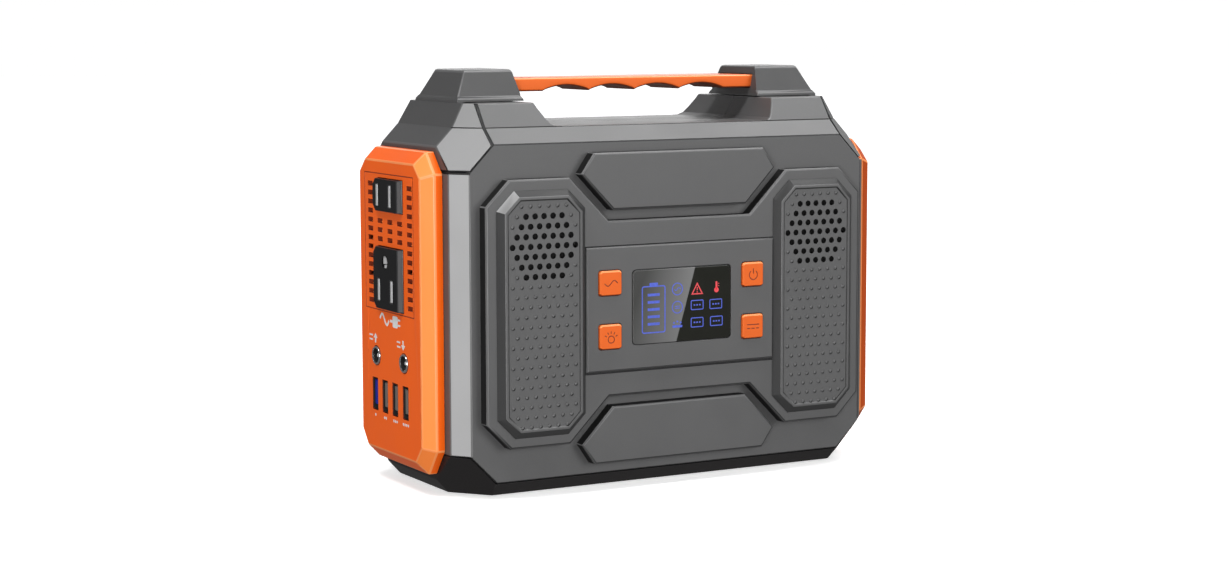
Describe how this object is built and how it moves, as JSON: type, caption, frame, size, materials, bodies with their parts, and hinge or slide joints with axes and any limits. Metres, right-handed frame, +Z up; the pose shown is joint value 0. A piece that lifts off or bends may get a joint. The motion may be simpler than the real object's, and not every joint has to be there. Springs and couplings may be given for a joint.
{
  "type": "portable power station",
  "caption": "Portable power station with a raised grey front, control panel, orange socket and fan end panels, and a top handle between towers.",
  "frame": {"origin": "middle of the underside, on the surface the feet stand on", "axes": "+X along the front to the fan end, +Y from front to back, +Z up"},
  "size_m": [0.2216, 0.1086, 0.1728],
  "materials": {
    "case_grey": "fine moulded grain, satin",
    "cap_grey": "fine moulded grain, satin",
    "base_black": "matt moulded grain",
    "orange": "satin moulded",
    "socket_black": "satin",
    "display_glass": "polished window with lit symbols",
    "rubber": "matt",
    "bright_metal": "plated",
    "brass": "plain",
    "heatsink_aluminium": "extruded",
    "circuit_board": "solder mask",
    "battery_wrap": "heat-shrunk film",
    "ferrite": "sintered",
    "lamp_lens": "moulded clear lens"
  },
  "bodies": {
    "case": {"base_tray": "base_black", "front_shell": "case_grey", "rear_shell": "case_grey", "left_end_cap": "cap_grey", "right_end_cap": "cap_grey", "carry_handle": "orange", "left_socket_panel": "orange", "right_fan_panel": "orange", "left_front_grille": "case_grey", "right_front_grille": "case_grey", "left_rear_pad": "case_grey", "right_rear_pad": "case_grey", "control_panel": "case_grey", "display_window": "display_glass", "display_module": "socket_black", "control_board": "circuit_board", "ac_switch": "socket_black", "light_switch": "socket_black", "power_switch": "socket_black", "dc_switch": "socket_black", "upper_ac_outlet": "socket_black", "lower_ac_outlet": "socket_black", "upper_line_contact": "brass", "upper_neutral_contact": "brass", "lower_line_contact": "brass", "lower_neutral_contact": "brass", "lower_ground_contact": "brass", "dc_output_jack": "bright_metal", "dc_input_jack": "bright_metal", "dc_output_pin": "brass", "dc_input_pin": "brass", "port_1": "bright_metal", "port_2": "bright_metal", "port_3": "bright_metal", "port_4": "bright_metal", "port_board": "circuit_board", "battery_pack": "battery_wrap", "battery_management_board": "circuit_board", "inverter_board": "circuit_board", "transformer": "ferrite", "heatsink": "heatsink_aluminium", "input_capacitor": "socket_black", "output_capacitor": "socket_black", "fan_frame": "socket_black", "lamp_lens": "lamp_lens", "lamp_reflector": "heatsink_aluminium", "lamp_board": "circuit_board", "foot_1": "rubber", "foot_screw_1": "bright_metal", "foot_2": "rubber", "foot_screw_2": "bright_metal", "foot_3": "rubber", "foot_screw_3": "bright_metal", "foot_4": "rubber", "foot_screw_4": "bright_metal"},
    "ac_button": {"ac_button": "orange"},
    "light_button": {"light_button": "orange"},
    "power_button": {"power_button": "orange"},
    "dc_button": {"dc_button": "orange"},
    "fan_rotor": {"fan_rotor": "socket_black"}
  },
  "joints": [
    {"name": "ac_press", "type": "slide", "parent": "case", "child": "ac_button", "axis": [0, 1, 0], "range_m": [0, 0.001], "stiffness_N_per_m": 400, "springref_m": -0.001},
    {"name": "light_press", "type": "slide", "parent": "case", "child": "light_button", "axis": [0, 1, 0], "range_m": [0, 0.001], "stiffness_N_per_m": 400, "springref_m": -0.001},
    {"name": "power_press", "type": "slide", "parent": "case", "child": "power_button", "axis": [0, 1, 0], "range_m": [0, 0.001], "stiffness_N_per_m": 400, "springref_m": -0.001},
    {"name": "dc_press", "type": "slide", "parent": "case", "child": "dc_button", "axis": [0, 1, 0], "range_m": [0, 0.001], "stiffness_N_per_m": 400, "springref_m": -0.001},
    {"name": "fan_spin", "type": "hinge", "parent": "case", "child": "fan_rotor", "pos_m": [0.0875, 0, 0.103], "axis": [1, 0, 0], "continuous": true}
  ]
}
